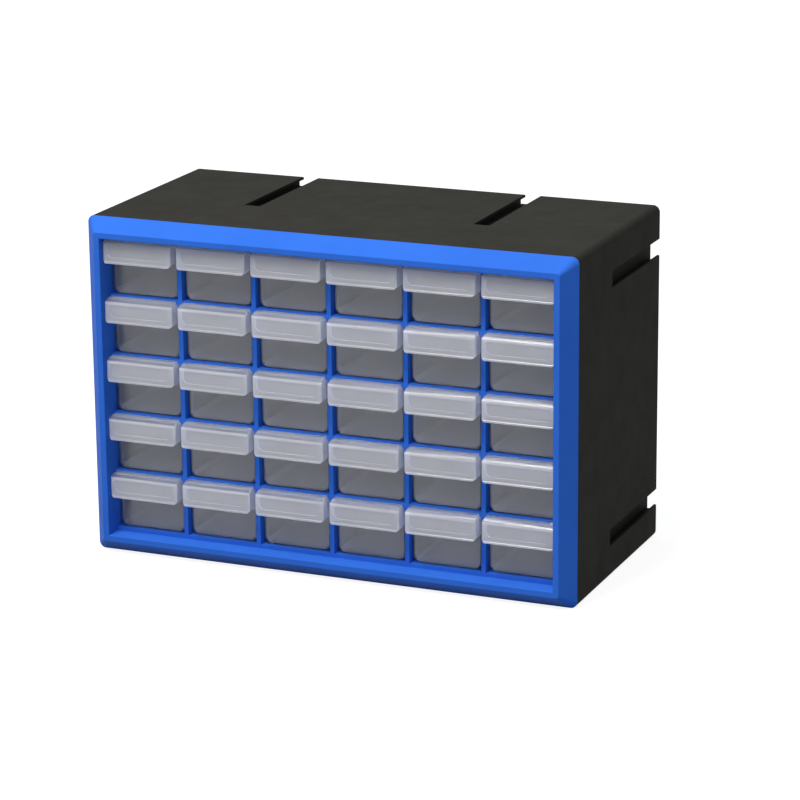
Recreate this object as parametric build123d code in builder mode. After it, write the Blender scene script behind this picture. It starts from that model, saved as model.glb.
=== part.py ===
# Parts cabinet: a moulded casing, a bevelled front frame with a grid, five shelves and thirty drawers.
# Millimetres, +Z up, the front faces -Y, the origin is the middle of the footprint on the floor.
import os

from build123d import *

# Outside of the cabinet
width = 365.0
depth = 180.0
height = 245.0
edge_radius = 5.0

# Drawers across and up
columns = 6
rows = 5

# Casing
casing_wall = 2.5
back_wall = 2.5
rear_chamfer = 1.0
ledge_depth = 3.0
ledge_thickness = 2.0

# T slots that join one cabinet to the next, cut in from the rear edge
slot_mouth = 12.0
slot_lip = 2.0
slot_undercut = 3.5
slot_depth = 7.0
slot_length = 102.0
slot_wall = 2.0
slot_from_middle = 87.0
slot_from_edge = 30.0

# Keyholes in the back wall
keyhole_head_radius = 4.5
keyhole_neck_radius = 2.5
keyhole_rise = 9.0
keyhole_spacing = 240.0
keyhole_height = 200.0

# Front frame
bevel_width = 9.6
bevel_depth = 11.5
lip_width = 4.3
lip_radius = 2.0
lip_edge = 0.7
frame_wall = 2.2
recess = 13.5
grid_depth = 12.0
upright_bar = 3.2
cross_bar = 2.6
tongue_length = 8.0
tongue_wall = 2.0
tongue_gap = 0.2

# Shelves
shelf_thickness = 1.4
shelf_seat = 3.0
shelf_gap = 0.2
guide_thickness = 1.6
guide_height = 5.0

# Drawers
drawer_side_gap = 1.0
drawer_floor_gap = 0.2
tub_setback = 3.5
tub_length = 140.0
tub_wall = 1.4
tub_rim_gap = 1.6
tub_draft = 0.5
tub_corner_radius = 5.5
tub_front_chamfer = 1.0
lug_width = 18.0
lug_gap = 0.3

# Hood-shaped pull on each drawer, which stands in front of the bar above it
hood_reach = 9.8
hood_back_gap = 0.3
hood_end_gap = 0.5
hood_overlap = 2.0
hood_neck_gap = 0.4
hood_drop = 17.4
hood_shoulder = 3.1
hood_brow_cut = 0.9
hood_end_slope = 1.2
hood_corner_cut = 2.0
hood_edge_cut = 1.3
hood_wall = 1.5
hood_cheek_rise = 4.0
bead_height = 1.5
bead_step = 0.4
label_inset = 3.6
label_rise = 4.5
label_gap = 1.2
label_depth = 0.5
label_corner_cut = 2.4

# Places that follow from the sizes above
front_y = -depth / 2
rear_y = depth / 2
joint_y = front_y + bevel_depth
grid_y = front_y + recess
grid_back_y = grid_y + grid_depth
inside_y = rear_y - back_wall
inner_width = width - 2 * casing_wall
inner_height = height - 2 * casing_wall
inner_radius = max(edge_radius - casing_wall, 0.5)
rim_width = bevel_width + lip_width
opening_width = width - 2 * rim_width
opening_height = height - 2 * rim_width
cell_width = (opening_width - (columns - 1) * upright_bar) / columns
cell_height = (opening_height - (rows + 1) * cross_bar) / rows
column_pitch = cell_width + upright_bar
row_pitch = cell_height + cross_bar
shelf_front_y = grid_back_y - shelf_seat + shelf_gap
tub_front_y = grid_y + tub_setback
tub_rear_y = tub_front_y + tub_length
tub_width = cell_width - 2 * drawer_side_gap
tub_height = cell_height - drawer_floor_gap - tub_rim_gap
hood_front_y = grid_y - hood_reach
hood_back_y = grid_y - hood_back_gap
hood_width = cell_width - 2 * hood_end_gap
lug_height = tub_rim_gap + cross_bar - shelf_thickness - lug_gap
corner_cut = 2 - 2**0.5


def column_x(column):
    """Middle of a column, counted from the left, from 1."""
    return (column - (columns + 1) / 2) * column_pitch


def floor_z(row):
    """Running surface of a row, counted from the top, from 1."""
    return rim_width + cross_bar + (rows - row) * row_pitch


def facing_front(y):
    """Plane at y that looks out of the front, with X to the right and Z up."""
    return Plane.XZ.offset(-y)


# Casing: an open-fronted box with troughs for the T slots and ledges for the shelves
slot_places = [
    (side * slot_from_middle, z, turn) for side in (-1, 1) for z, turn in ((height, 0), (0, 180))
]
slot_places += [
    (side * width / 2, z, -90 * side) for side in (-1, 1) for z in (slot_from_edge, height - slot_from_edge)
]
slot_locations = [Location((x, z, 0), (0, 0, turn)) for x, z, turn in slot_places]
slot_width = slot_mouth + 2 * slot_undercut

with BuildPart() as casing_shell:
    with BuildSketch(facing_front(rear_y)):
        with Locations((0, height / 2)):
            RectangleRounded(width, height, edge_radius)
    extrude(amount=rear_y - joint_y)
    chamfer(casing_shell.faces().sort_by(Axis.Y)[-1].edges(), length=rear_chamfer)
    with BuildSketch(facing_front(inside_y)):
        with Locations((0, height / 2)):
            RectangleRounded(inner_width, inner_height, inner_radius)
    extrude(amount=inside_y - joint_y, mode=Mode.SUBTRACT)
    with BuildSketch(facing_front(inside_y)):
        with Locations(*slot_locations):
            with Locations((0, -casing_wall)):
                Rectangle(
                    slot_width + 2 * slot_wall,
                    slot_depth + slot_wall - casing_wall,
                    align=(Align.CENTER, Align.MAX),
                )
    extrude(amount=slot_length + slot_wall - back_wall)
    with BuildSketch(facing_front(rear_y)):
        with Locations(*slot_locations):
            Rectangle(slot_mouth, slot_depth, align=(Align.CENTER, Align.MAX))
            with Locations((0, -slot_lip)):
                Rectangle(slot_width, slot_depth - slot_lip, align=(Align.CENTER, Align.MAX))
    extrude(amount=slot_length, mode=Mode.SUBTRACT)
    for row in range(1, rows + 1):
        with BuildSketch(Plane.XY.offset(floor_z(row) - shelf_thickness)):
            ledge_front_y = grid_back_y + shelf_seat
            with Locations((0, ledge_front_y)):
                Rectangle(inner_width, inside_y - ledge_front_y, align=(Align.CENTER, Align.MIN))
                Rectangle(
                    inner_width - 2 * ledge_depth,
                    inside_y - ledge_front_y - ledge_depth,
                    align=(Align.CENTER, Align.MIN),
                    mode=Mode.SUBTRACT,
                )
        extrude(amount=-ledge_thickness)
    with BuildSketch(facing_front(rear_y)):
        with Locations((-keyhole_spacing / 2, keyhole_height), (keyhole_spacing / 2, keyhole_height)):
            Circle(keyhole_head_radius)
            Rectangle(2 * keyhole_neck_radius, keyhole_rise, align=(Align.CENTER, Align.MIN))
            with Locations((0, keyhole_rise)):
                Circle(keyhole_neck_radius)
    extrude(amount=back_wall, mode=Mode.SUBTRACT)

# Front frame: a hollow bevelled rim, a sleeve round the opening, the grid, and a tongue into the casing
bevel_slope = bevel_width / bevel_depth
bevel_skin = frame_wall * (1 + bevel_slope**2) ** 0.5
hollow_inset = bevel_width - frame_wall * bevel_slope + bevel_skin
tongue_front_y = joint_y - 0.9 * (casing_wall + tongue_gap) / bevel_slope
tongue_inset = casing_wall + tongue_gap

with BuildPart() as front_frame:
    with BuildSketch(facing_front(joint_y)):
        with Locations((0, height / 2)):
            RectangleRounded(width, height, edge_radius)
    with BuildSketch(facing_front(front_y)):
        with Locations((0, height / 2)):
            RectangleRounded(width - 2 * bevel_width, height - 2 * bevel_width, lip_radius)
    loft(ruled=True)
    with BuildSketch(facing_front(joint_y)):
        with Locations((0, height / 2)):
            Rectangle(width - 2 * bevel_skin, height - 2 * bevel_skin)
    with BuildSketch(facing_front(front_y + frame_wall)):
        with Locations((0, height / 2)):
            Rectangle(width - 2 * hollow_inset, height - 2 * hollow_inset)
    loft(ruled=True, mode=Mode.SUBTRACT)
    with BuildSketch(facing_front(front_y + frame_wall / 2)):
        with Locations((0, height / 2)):
            Rectangle(opening_width + 2 * frame_wall, opening_height + 2 * frame_wall)
    extrude(amount=front_y + frame_wall / 2 - grid_back_y)
    with BuildSketch(facing_front(front_y)):
        with Locations((0, height / 2)):
            Rectangle(opening_width, opening_height)
    extrude(amount=front_y - grid_back_y, mode=Mode.SUBTRACT)
    lip_edges = front_frame.faces().sort_by(Axis.Y)[0].inner_wires()[0].edges()
    fillet(lip_edges, radius=lip_edge)
    with BuildSketch(facing_front(grid_y)):
        with Locations((0, height / 2)):
            with GridLocations(column_pitch, 0, columns - 1, 1):
                Rectangle(upright_bar, opening_height)
            with GridLocations(0, row_pitch, 1, rows + 1):
                Rectangle(opening_width, cross_bar)
    extrude(amount=-grid_depth)
    for row in range(1, rows + 1):
        with BuildSketch(Plane.XY.offset(floor_z(row) - shelf_thickness)):
            with Locations((0, grid_back_y)):
                Rectangle(opening_width, shelf_seat, align=(Align.CENTER, Align.MAX))
        extrude(amount=shelf_thickness + shelf_gap, mode=Mode.SUBTRACT)
    with BuildSketch(facing_front(tongue_front_y)):
        with Locations((0, height / 2)):
            RectangleRounded(width - 2 * tongue_inset, height - 2 * tongue_inset, inner_radius)
            Rectangle(
                width - 2 * (tongue_inset + tongue_wall),
                height - 2 * (tongue_inset + tongue_wall),
                mode=Mode.SUBTRACT,
            )
    extrude(amount=tongue_front_y - joint_y - tongue_length)

# Shelves: a thin plate with guide ribs between the columns
def make_shelf(row):
    top_z = floor_z(row)
    guide_front_y = grid_back_y + shelf_gap
    guide_end_x = (opening_width + guide_thickness) / 2
    guide_x = [(i - columns / 2) * column_pitch for i in range(1, columns)]
    with BuildPart() as shelf:
        with BuildSketch(Plane.XY.offset(top_z - shelf_thickness)):
            with Locations((0, guide_front_y)):
                Rectangle(
                    inner_width - 2 * shelf_gap,
                    inside_y - shelf_gap - guide_front_y,
                    align=(Align.CENTER, Align.MIN),
                )
            with Locations((0, shelf_front_y)):
                Rectangle(
                    opening_width - 2 * shelf_gap,
                    guide_front_y - shelf_front_y,
                    align=(Align.CENTER, Align.MIN),
                )
        extrude(amount=shelf_thickness)
        with BuildSketch(Plane.XY.offset(top_z)):
            with Locations(*[(x, guide_front_y) for x in [-guide_end_x, *guide_x, guide_end_x]]):
                Rectangle(guide_thickness, tub_rear_y - guide_front_y, align=(Align.CENTER, Align.MIN))
        extrude(amount=guide_height)
    return shelf.part


# Drawers: a drafted tub, a hood over its front to pull by, and a lug at the back that stops it in the grid
def tub_outline(inset):
    """Corners of the tub seen from the front, shrunk by inset at the sides and the floor."""
    half_top = tub_width / 2 - inset
    half_floor = half_top - tub_draft
    return [(-half_top, tub_height), (-half_floor, inset), (half_floor, inset), (half_top, tub_height)]


def hood_outline(top_z):
    """Corners of the hood seen from the right: shoulder, top, step, neck, slanting cheek, bead and front."""
    neck_z = top_z - hood_overlap - hood_neck_gap
    bottom_z = top_z - hood_drop
    front = hood_front_y + bead_step
    return [
        (front, top_z - hood_shoulder),
        (front + hood_shoulder, top_z),
        (hood_back_y, top_z),
        (hood_back_y, neck_z),
        (tub_front_y + tub_wall, neck_z),
        (tub_front_y + tub_wall, bottom_z + hood_cheek_rise),
        (hood_front_y + 2 * bead_height, bottom_z),
        (hood_front_y, bottom_z),
        (hood_front_y, bottom_z + bead_height - bead_step),
        (front, bottom_z + bead_height),
    ]


def hollow_outline(top_z):
    """Corners of the space under the hood seen from the right, one wall inside its outline."""
    neck_z = top_z - hood_overlap - hood_neck_gap - hood_wall
    bottom_z = top_z - hood_drop
    front = hood_front_y + bead_step + hood_wall
    shoulder = hood_shoulder - corner_cut * hood_wall
    return [
        (front, bottom_z),
        (front, top_z - hood_wall - shoulder),
        (front + shoulder, top_z - hood_wall),
        (hood_back_y - hood_wall, top_z - hood_wall),
        (hood_back_y - hood_wall, neck_z),
        (tub_front_y, neck_z),
        (tub_front_y, bottom_z),
    ]


def make_drawer(row, column):
    x = column_x(column)
    z = floor_z(row) + drawer_floor_gap
    top_z = floor_z(row) + cell_height + hood_overlap
    bottom_z = top_z - hood_drop
    with BuildPart() as drawer:
        with BuildSketch(facing_front(tub_rear_y)) as tub:
            with Locations((x, z)):
                Polygon(*tub_outline(0), align=None)
            fillet(tub.vertices().group_by(Axis.Y)[0], radius=tub_corner_radius)
        extrude(amount=tub_length)
        front_edges = drawer.faces().sort_by(Axis.Y)[0].edges().sort_by(Axis.Z)
        chamfer(front_edges[:-1], length=tub_front_chamfer)
        with BuildSketch(Plane.YZ.offset(x)) as hood:
            outline = hood_outline(top_z)
            Polygon(*outline, align=None)
            brow = [hood.vertices().sort_by_distance(corner)[0] for corner in outline[:2]]
            chamfer(brow, length=hood_brow_cut)
        extrude(amount=hood_width / 2, both=True)
        with BuildSketch(Plane.YZ.offset(x)):
            Polygon(*hollow_outline(top_z), align=None)
        extrude(amount=hood_width / 2 - hood_wall, both=True, mode=Mode.SUBTRACT)
        with BuildSketch(facing_front(hood_front_y)):
            for side in (-1, 1):
                end_x = x + side * hood_width / 2
                Polygon(
                    (end_x, top_z - hood_shoulder),
                    (end_x, top_z),
                    (end_x - side * hood_end_slope, top_z),
                    align=None,
                )
                Polygon(
                    (end_x, bottom_z + hood_corner_cut),
                    (end_x, bottom_z),
                    (end_x - side * hood_corner_cut, bottom_z),
                    align=None,
                )
        extrude(amount=hood_front_y - hood_back_y, mode=Mode.SUBTRACT)
        with BuildSketch(Plane.XY.offset(bottom_z)):
            for side in (-1, 1):
                end_x = x + side * hood_width / 2
                Polygon(
                    (end_x, hood_front_y + hood_edge_cut),
                    (end_x, hood_front_y),
                    (end_x - side * hood_edge_cut, hood_front_y),
                    align=None,
                )
        extrude(amount=hood_drop, mode=Mode.SUBTRACT)
        with BuildSketch(facing_front(hood_front_y + bead_step)) as label:
            with Locations((x, bottom_z + label_rise)):
                Rectangle(
                    hood_width - 2 * label_inset,
                    hood_drop - hood_shoulder - label_gap - label_rise,
                    align=(Align.CENTER, Align.MIN),
                )
            chamfer(label.vertices().group_by(Axis.Y)[0], length=label_corner_cut)
        extrude(amount=-label_depth, mode=Mode.SUBTRACT)
        with BuildSketch(facing_front(tub_rear_y - tub_wall)) as room:
            with Locations((x, z)):
                Polygon(*tub_outline(tub_wall), align=None)
            chamfer(room.vertices().group_by(Axis.Y)[0], length=corner_cut * (tub_corner_radius - tub_wall))
        extrude(amount=tub_length - 2 * tub_wall, mode=Mode.SUBTRACT)
        with BuildSketch(facing_front(tub_rear_y)):
            with Locations((x, z + tub_height)):
                Rectangle(lug_width, lug_height, align=(Align.CENTER, Align.MIN))
        extrude(amount=tub_wall)
    return drawer.part


os.makedirs("parts", exist_ok=True)
casing_shell.part.label = "casing_shell"
export_step(casing_shell.part, "parts/casing_shell.step")
front_frame.part.label = "front_frame"
export_step(front_frame.part, "parts/front_frame.step")
for row in range(1, rows + 1):
    shelf = make_shelf(row)
    shelf.label = f"shelf_{row}"
    export_step(shelf, f"parts/{shelf.label}.step")
    for column in range(1, columns + 1):
        drawer = make_drawer(row, column)
        drawer.label = f"drawer_r{row}_c{column}"
        export_step(drawer, f"parts/{drawer.label}.step")
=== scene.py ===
# %% [markdown]
# # A parts cabinet with milky drawers
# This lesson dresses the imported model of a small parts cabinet: a black moulded casing, a blue front frame with a
# grid, inner shelves and thirty see-through drawers. The shapes come from the CAD model, so the work here is light,
# edges and plastics. Everything is in metres, with +Z up and the drawers facing -Y.

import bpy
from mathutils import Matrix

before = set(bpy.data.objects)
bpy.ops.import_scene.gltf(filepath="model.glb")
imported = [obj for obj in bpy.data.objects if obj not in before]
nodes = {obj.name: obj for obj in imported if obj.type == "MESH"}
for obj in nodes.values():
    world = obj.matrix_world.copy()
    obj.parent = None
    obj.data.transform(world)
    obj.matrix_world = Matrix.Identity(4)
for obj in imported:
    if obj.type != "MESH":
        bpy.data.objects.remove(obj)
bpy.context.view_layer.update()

# %% [markdown]
# ## Sorting the pieces
# Pieces that share a finish are handled together. Their names tell which is which, so a list for each kind is enough,
# and nothing has to be picked by hand.

# %% Sort the pieces by their names
drawers = [piece for name, piece in nodes.items() if name.startswith("drawer_")]
shelves = [piece for name, piece in nodes.items() if name.startswith("shelf_")]
casing = nodes["casing_shell"]
front = nodes["front_frame"]
print("drawers:", len(drawers), "shelves:", len(shelves))

# %% [markdown]
# ## The camera
# The cabinet is seen from in front, to its right and a little above. A long lens far away could be guessed by eye, but
# here the angles and the distance were worked out from the cabinet's known outside sizes, which leaves only a small
# sideways move to put it in the frame. The camera's three axes are written straight into its matrix.

# %% Place the camera
import math

import bpy
from mathutils import Matrix, Vector

azimuth, elevation, roll = math.radians(22.946), math.radians(15.977), math.radians(-0.54)
distance = 2.3101
move_right, move_down = 0.01862, 0.01421
sensor_mm, picture_px, focal_px = 36, 800, 3250.7
cabinet_middle = Vector((0, 0, 0.1225))

back = Vector((
    math.sin(azimuth) * math.cos(elevation),
    -math.cos(azimuth) * math.cos(elevation),
    math.sin(elevation),
))
level = Vector((math.cos(azimuth), math.sin(azimuth), 0))
upward = back.cross(level)
right = level * math.cos(roll) + upward * math.sin(roll)
up = upward * math.cos(roll) - level * math.sin(roll)
target = cabinet_middle + right * move_right - up * move_down

lens = bpy.data.cameras.new("photo_camera")
lens.sensor_width = sensor_mm
lens.lens = sensor_mm * focal_px / picture_px
camera = bpy.data.objects.new("photo_camera", lens)
bpy.context.scene.collection.objects.link(camera)
turn = Matrix((right, up, back)).transposed().to_4x4()
camera.matrix_world = Matrix.Translation(target + back * distance) @ turn
bpy.context.scene.camera = camera
print("camera at", [round(v, 3) for v in camera.matrix_world.translation], "lens", round(lens.lens, 1), "mm")

# %% [markdown]
# ## Colours and nodes
# Paint programs write colours as sRGB hex values, while the renderer adds light in linear numbers. One function turns
# the first into the second. A second small function adds a node, sets its sockets and joins it to earlier nodes, so
# each material below reads as a short list.

# %% Turn hex colours into linear ones, and add nodes
def linear(code):
    """Linear RGBA for a hex colour such as #1E5AD2."""
    parts = [int(code[i : i + 2], 16) / 255 for i in (1, 3, 5)]
    return (*[p / 12.92 if p <= 0.04045 else ((p + 0.055) / 1.055) ** 2.4 for p in parts], 1)


def add_node(tree, kind, values=None, links=None, **settings):
    """Adds a node, fills its sockets with values, and joins its sockets to other nodes' outputs."""
    node = tree.nodes.new("ShaderNode" + kind)
    for name, value in settings.items():
        setattr(node, name, value)
    for socket, value in (values or {}).items():
        node.inputs[socket].default_value = value
    for socket, output in (links or {}).items():
        tree.links.new(output, node.inputs[socket])
    return node


print("mid blue in linear:", [round(v, 3) for v in linear("#1E5AD2")])

# %% [markdown]
# ## White floor
# The cabinet stands on a white sheet of paper. A sheet that is lit until it is white would throw too much light back
# on the plastics. So what the camera, a reflection or a see-through wall sees of it is mostly a plain white glow, with
# a share of ordinary matt paper left in, which keeps the soft shadow where the cabinet stands. A number from the light
# path chooses between that look and the dimmer paper that only gives light.

# %% Lay the sheet
def new_tree(owner):
    """Empties an owner's node tree and returns it."""
    owner.use_nodes = True
    owner.node_tree.nodes.clear()
    return owner.node_tree


def seen_directly(tree):
    """A number that is 1 for rays from the camera, from gloss or through clear walls, and 0 for lighting rays."""
    path = add_node(tree, "LightPath").outputs
    first = add_node(tree, "Math", links={0: path["Is Camera Ray"], 1: path["Is Glossy Ray"]}, operation="MAXIMUM")
    both = add_node(tree, "Math", links={0: first.outputs[0], 1: path["Is Transmission Ray"]}, operation="MAXIMUM")
    return both.outputs[0]


paper = bpy.data.materials.new("white_studio_paper")
tree = new_tree(paper)
matt = add_node(tree, "BsdfDiffuse", {"Color": linear("#959595")})
dim_matt = add_node(tree, "BsdfDiffuse", {"Color": linear("#8E8E8E")})
glow = add_node(tree, "Emission", {"Color": linear("#FFFFFF"), "Strength": 0.88})
lifted = add_node(tree, "AddShader", links={0: dim_matt.outputs[0], 1: glow.outputs[0]})
mixed = add_node(tree, "MixShader", links={0: seen_directly(tree), 1: matt.outputs[0], 2: lifted.outputs[0]})
add_node(tree, "OutputMaterial", links={"Surface": mixed.outputs[0]})

bpy.ops.mesh.primitive_plane_add(size=14, location=(0, 4, 0))
sheet = bpy.context.object
sheet.name = "studio_sheet"
sheet.data.materials.append(paper)
print("made:", sheet.name, "of", paper.name)

# %% [markdown]
# ## White room
# The room has two looks for the same reason. It is seen as plain white, and it lights the cabinet with a dimmer and
# slightly cooler white, which fills the shadows.

# %% Paint the room
world = bpy.data.worlds.new("white_room")
bpy.context.scene.world = world
tree = new_tree(world)
ambient = add_node(tree, "Background", {"Color": linear("#F4F6FF"), "Strength": 0.58})
white = add_node(tree, "Background", {"Color": linear("#FFFFFF"), "Strength": 1.0})
mixed = add_node(tree, "MixShader", links={0: seen_directly(tree), 1: ambient.outputs[0], 2: white.outputs[0]})
add_node(tree, "OutputWorld", links={"Surface": mixed.outputs[0]})
print("made:", world.name, "with fill light of strength", round(ambient.inputs["Strength"].default_value, 2))

# %% [markdown]
# ## Studio light
# The top of the casing is lit about two and a half times as strongly as its side, and the frame's upper bevel is much
# brighter than its flat lip. So the light comes from high above, a little in front and to the left. One large softbox
# there gives both, and the white room and sheet fill the shaded walls.

# %% Hang the softbox
def softbox(name, place, aim, size, power, tint):
    """A square lamp at a place, turned to the point that it lights."""
    lamp = bpy.data.lights.new(name, "AREA")
    lamp.size = size
    lamp.energy = power
    lamp.color = linear(tint)[:3]
    holder = bpy.data.objects.new(name, lamp)
    bpy.context.scene.collection.objects.link(holder)
    turn = (Vector(aim) - Vector(place)).to_track_quat("-Z", "Y").to_matrix().to_4x4()
    holder.matrix_world = Matrix.Translation(place) @ turn
    return holder


key = softbox("key_softbox", place=(-0.29, -0.85, 1.84), aim=(0, 0, 0.12), size=0.7, power=41, tint="#FFFAF2")
print("lamp:", key.name, key.data.energy, "W")

# %% [markdown]
# ## Soft edges
# A moulded edge is never sharp: the tool gives it a small radius, and that radius catches a thin line of light. The CAD
# model leaves the smallest of these out. Rounding could be painted with a shader, but a bevel modifier makes a real
# edge that any renderer shows. The mesh from the file is split along its hard edges, so a weld comes first, and a
# weighted-normal step keeps the flats flat.

# %% Round the small edges
weld_reach = 0.000002


def soften(piece, radius_mm, angle_deg):
    """Welds, bevels and evens the shading of a piece without touching its mesh."""
    weld = piece.modifiers.new("weld", "WELD")
    weld.merge_threshold = weld_reach
    bevel = piece.modifiers.new("moulded_radius", "BEVEL")
    bevel.width = radius_mm / 1000
    bevel.segments = 2
    bevel.limit_method = "ANGLE"
    bevel.angle_limit = math.radians(angle_deg)
    bevel.use_clamp_overlap = True
    piece.modifiers.new("even_shading", "WEIGHTED_NORMAL")


soften(casing, radius_mm=0.5, angle_deg=35)
soften(front, radius_mm=0.35, angle_deg=35)
for drawer in drawers:
    soften(drawer, radius_mm=0.3, angle_deg=40)
print("rounded pieces:", sum(1 for piece in nodes.values() if "moulded_radius" in piece.modifiers))

# %% [markdown]
# ## Patterns for plastic
# No moulding is quite even. A fine grain comes from the tool's surface, and slow changes over larger patches come from
# the way the plastic flowed and from handling. Both could be painted, but noise of a real size needs no picture. Two
# functions make them, and the sizes are given in millimetres.

# %% Make the grain and the clouds
def grain_bump(tree, place, size_mm, depth_mm):
    """A bump from noise with grains of a real size and depth."""
    noise = add_node(tree, "TexNoise", {"Scale": 1000 / size_mm, "Detail": 3.0}, {"Vector": place})
    bump = add_node(tree, "Bump", {"Strength": 1.0, "Distance": depth_mm / 1000}, {"Height": noise.outputs["Fac"]})
    return bump.outputs["Normal"]


def clouds(tree, place, size_mm, low=0.0, high=1.0):
    """A slow change between two values over patches of a real size."""
    noise = add_node(tree, "TexNoise", {"Scale": 1000 / size_mm, "Detail": 4.0, "Roughness": 0.6}, {"Vector": place})
    spread = add_node(
        tree,
        "MapRange",
        {"From Min": 0.3, "From Max": 0.7, "To Min": low, "To Max": high},
        {"Value": noise.outputs["Fac"]},
    )
    return spread.outputs["Result"]


print("a grain of 0.9 mm needs a noise scale of", round(1000 / 0.9))

# %% [markdown]
# ## Black casing
# The casing is polypropylene coloured black, injection moulded in a tool with a spark-eroded surface. That surface
# scatters nearly all the light that falls on it, so black stays black even in a white room, and the shine is set very
# low. The real grain is about 0.2 mm, too fine to show here, so it is drawn at 0.9 mm. The shelves inside are the same
# plastic in a darker shade.

# %% Mix the black polypropylene
def black_polypropylene(name, shade, lighter_shade):
    """Spark-textured black plastic that drifts between two shades."""
    material = bpy.data.materials.new(name)
    tree = new_tree(material)
    place = add_node(tree, "TexCoord").outputs["Object"]
    tone = add_node(
        tree, "MixRGB", {1: linear(shade), 2: linear(lighter_shade)}, {0: clouds(tree, place, size_mm=45)}
    )
    plastic = add_node(
        tree,
        "BsdfPrincipled",
        {"IOR": 1.49, "Specular IOR Level": 0.012},
        {
            "Base Color": tone.outputs[0],
            "Roughness": clouds(tree, place, size_mm=18, low=0.55, high=0.64),
            "Normal": grain_bump(tree, place, size_mm=0.9, depth_mm=0.02),
        },
    )
    add_node(tree, "OutputMaterial", links={"Surface": plastic.outputs[0]})
    return material


casing_black = black_polypropylene("black_polypropylene_spark_textured", "#252522", "#292926")
shelf_black = black_polypropylene("black_polypropylene_inner", "#202020", "#232323")
print("materials:", casing_black.name, shelf_black.name)

# %% [markdown]
# ## Blue front frame
# The frame is ABS coloured blue, moulded in a finer tool than the casing, so it is smoother. In a white room even a
# little gloss mirrors the walls and turns a bevel pale where it is seen at a slant, so the shine is kept very low here
# too. ABS has an IOR near 1.54. Its tone and roughness drift a little over a few centimetres, and its faint grain is
# drawn at 1.4 mm, far coarser than it is, so that it can show.

# %% Mix the blue ABS
frame_blue = bpy.data.materials.new("blue_abs_satin_moulding")
tree = new_tree(frame_blue)
place = add_node(tree, "TexCoord").outputs["Object"]
tone = add_node(
    tree, "MixRGB", {1: linear("#2E64C8"), 2: linear("#326AD0")}, {0: clouds(tree, place, size_mm=60)}
)
plastic = add_node(
    tree,
    "BsdfPrincipled",
    {"IOR": 1.54, "Specular IOR Level": 0.005},
    {
        "Base Color": tone.outputs[0],
        "Roughness": clouds(tree, place, size_mm=25, low=0.3, high=0.4),
        "Normal": grain_bump(tree, place, size_mm=1.4, depth_mm=0.008),
    },
)
add_node(tree, "OutputMaterial", links={"Surface": plastic.outputs[0]})
print("material:", frame_blue.name)

# %% [markdown]
# ## Zones of a drawer
# The drawers are natural polypropylene, which is milky, and their tool isn't polished alike everywhere. The pull's
# front plate is frosted, so it sends more light back than the shoulder above it, and the crease between them shows as
# a bright line. The tub's walls are the clearest, and its floor and rims are the whitest, so the floor can be seen
# through the front. A point's depth behind the front of the pull, and whether it faces up, tell where it belongs, so
# each zone is a level that changes between two depths.

# %% Find how clear and how hazy each zone is
pull_front = min(corner.co.y for corner in drawers[0].data.vertices)
drawer_milky = bpy.data.materials.new("natural_polypropylene_milky")
tree = new_tree(drawer_milky)
place = add_node(tree, "TexCoord").outputs["Object"]
along = add_node(tree, "SeparateXYZ", links={0: place}).outputs["Y"]
zones = {  # depth in mm where the change starts and ends, level before and after it
    "plate_clear": (1.4, 1.0, 1.0, 0.6),
    "walls_clear": (11.3, 12.3, 1.0, 0.92),
    "floor_clear": (15.3, 15.6, 1.0, 0.4),
    "haze": (11.3, 12.3, 0.3, 0.1),
}
levels = {}
for zone, (start_mm, end_mm, before, after) in zones.items():
    change = {
        "From Min": pull_front + start_mm / 1000,
        "From Max": pull_front + end_mm / 1000,
        "To Min": before,
        "To Max": after,
    }
    levels[zone] = add_node(tree, "MapRange", change, {"Value": along}).outputs["Result"]
print("zones:", list(levels), "behind y =", round(pull_front, 4))

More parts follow.
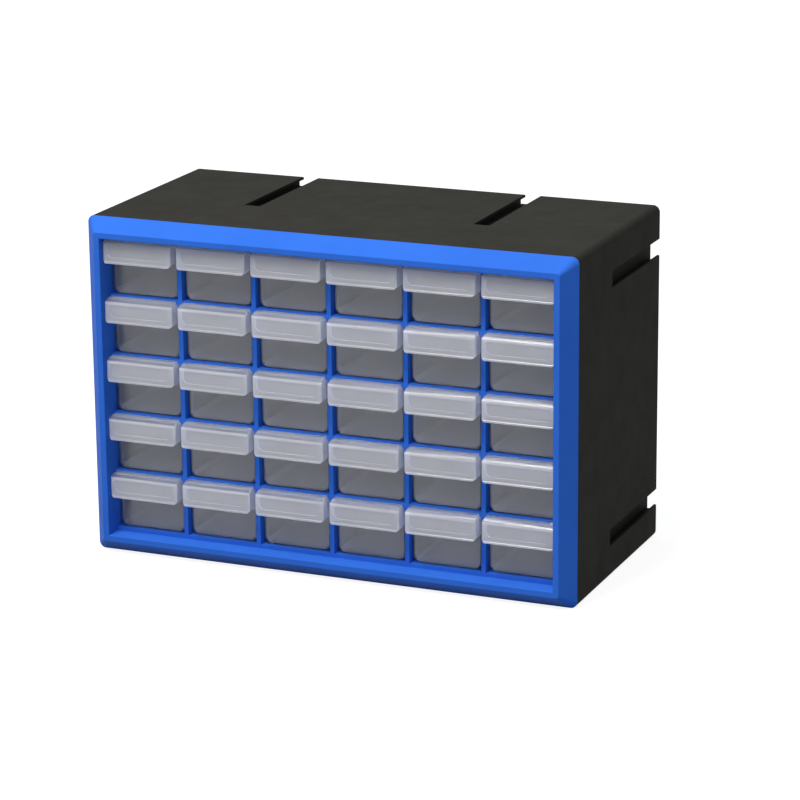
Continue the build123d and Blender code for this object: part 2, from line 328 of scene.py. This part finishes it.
# %% [markdown]
# ## Milky drawers
# Glass would be too clear and a painted alpha would not blur, so two shaders are mixed. One is rough and clear, and
# shows what is behind it as a blur. The other is a haze that lets light through and spreads it to all sides, as the
# crystals in this plastic do. The floor's level counts only where the surface faces up, and the least clear of the
# zones' levels holds. The faint grain is drawn at 1.6 mm, coarser than it is, so that it can show.

# %% Mix the milky polypropylene
faces_up_from, fully_clear = 0.7, 1.0
facing = add_node(tree, "NewGeometry").outputs["Normal"]
rise = add_node(tree, "SeparateXYZ", links={0: facing}).outputs["Z"]
faces_up = add_node(tree, "Math", {1: faces_up_from}, {0: rise}, operation="GREATER_THAN")
floor = add_node(tree, "Mix", {2: fully_clear}, {0: faces_up.outputs[0], 3: levels["floor_clear"]})
upright = add_node(tree, "Math", links={0: levels["plate_clear"], 1: levels["walls_clear"]}, operation="MINIMUM")
clear = add_node(tree, "Math", links={0: upright.outputs[0], 1: floor.outputs[0]}, operation="MINIMUM")
tone = add_node(
    tree, "MixRGB", {1: linear("#EDF0F7"), 2: linear("#F3F6FD")}, {0: clouds(tree, place, size_mm=22)}
)
plastic = add_node(
    tree,
    "BsdfPrincipled",
    {"IOR": 1.49},
    {
        "Base Color": tone.outputs[0],
        "Transmission Weight": clear.outputs[0],
        "Roughness": clouds(tree, place, size_mm=12, low=0.17, high=0.23),
        "Normal": grain_bump(tree, place, size_mm=1.6, depth_mm=0.006),
    },
)
haze = add_node(tree, "BsdfTranslucent", links={"Color": tone.outputs[0]})
milk = add_node(tree, "MixShader", links={0: levels["haze"], 1: plastic.outputs[0], 2: haze.outputs[0]})
add_node(tree, "OutputMaterial", links={"Surface": milk.outputs[0]})
print("material:", drawer_milky.name)

# %% [markdown]
# ## Putting the finishes on
# Each CAD piece already has a slot for its material. Filling that slot is all that is needed.

# %% Fill the material slots
finishes = [(casing, casing_black), (front, frame_blue)]
finishes += [(shelf, shelf_black) for shelf in shelves]
finishes += [(drawer, drawer_milky) for drawer in drawers]
for piece, material in finishes:
    for slot in piece.material_slots:
        slot.material = material
print("finished pieces:", len(finishes))

# %% [markdown]
# ## View
# The plain view transform shows colours as they were mixed.

bpy.context.scene.view_settings.view_transform = "Standard"
